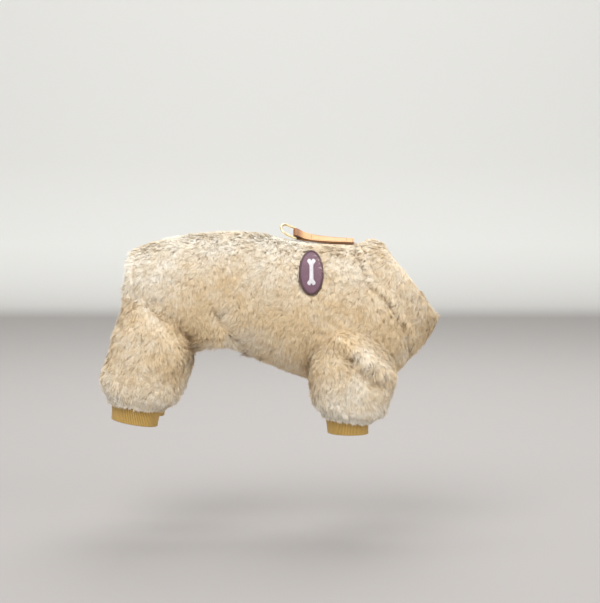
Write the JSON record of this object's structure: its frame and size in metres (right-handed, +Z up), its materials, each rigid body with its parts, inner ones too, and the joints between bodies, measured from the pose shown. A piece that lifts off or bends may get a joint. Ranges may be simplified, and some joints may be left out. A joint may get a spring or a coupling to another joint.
{
  "type": "dog jumpsuit",
  "caption": "Plush fleece jumpsuit for a small dog, with a stand-up collar, ribbed cuffs, an oval badge and a leash tab with a ring, in its worn shape.",
  "frame": {"origin": "on the inside of the back panel at the middle of the back, where the suit sits on the dog", "axes": "+X towards the dog's head, +Y towards its left side, +Z up"},
  "size_m": [0.3571, 0.1468, 0.2193],
  "materials": {
    "plush": "long soft pile",
    "rib_knit": "fine rib knit",
    "badge_twill": "embroidered twill",
    "badge_thread": "satin stitch",
    "leather": "satin",
    "ring_metal": "polished"
  },
  "bodies": {
    "suit": {"body_shell": "plush", "collar": "plush", "rear_hem": "plush", "belly_hem": "plush", "front_leg_right": "plush", "front_leg_left": "plush", "hind_leg_right": "plush", "hind_leg_left": "plush", "front_cuff_right": "rib_knit", "front_cuff_left": "rib_knit", "hind_cuff_right": "rib_knit", "hind_cuff_left": "rib_knit", "badge": "badge_twill", "badge_bone": "badge_thread", "leash_tab": "leather"},
    "ring": {"d_ring": "ring_metal"}
  },
  "joints": [
    {"name": "ring_hinge", "type": "hinge", "parent": "suit", "child": "ring", "pos_m": [0.0436, 0, 0.00549], "axis": [0, 0.788, 0.6157], "range_deg": [-20, 88]}
  ]
}
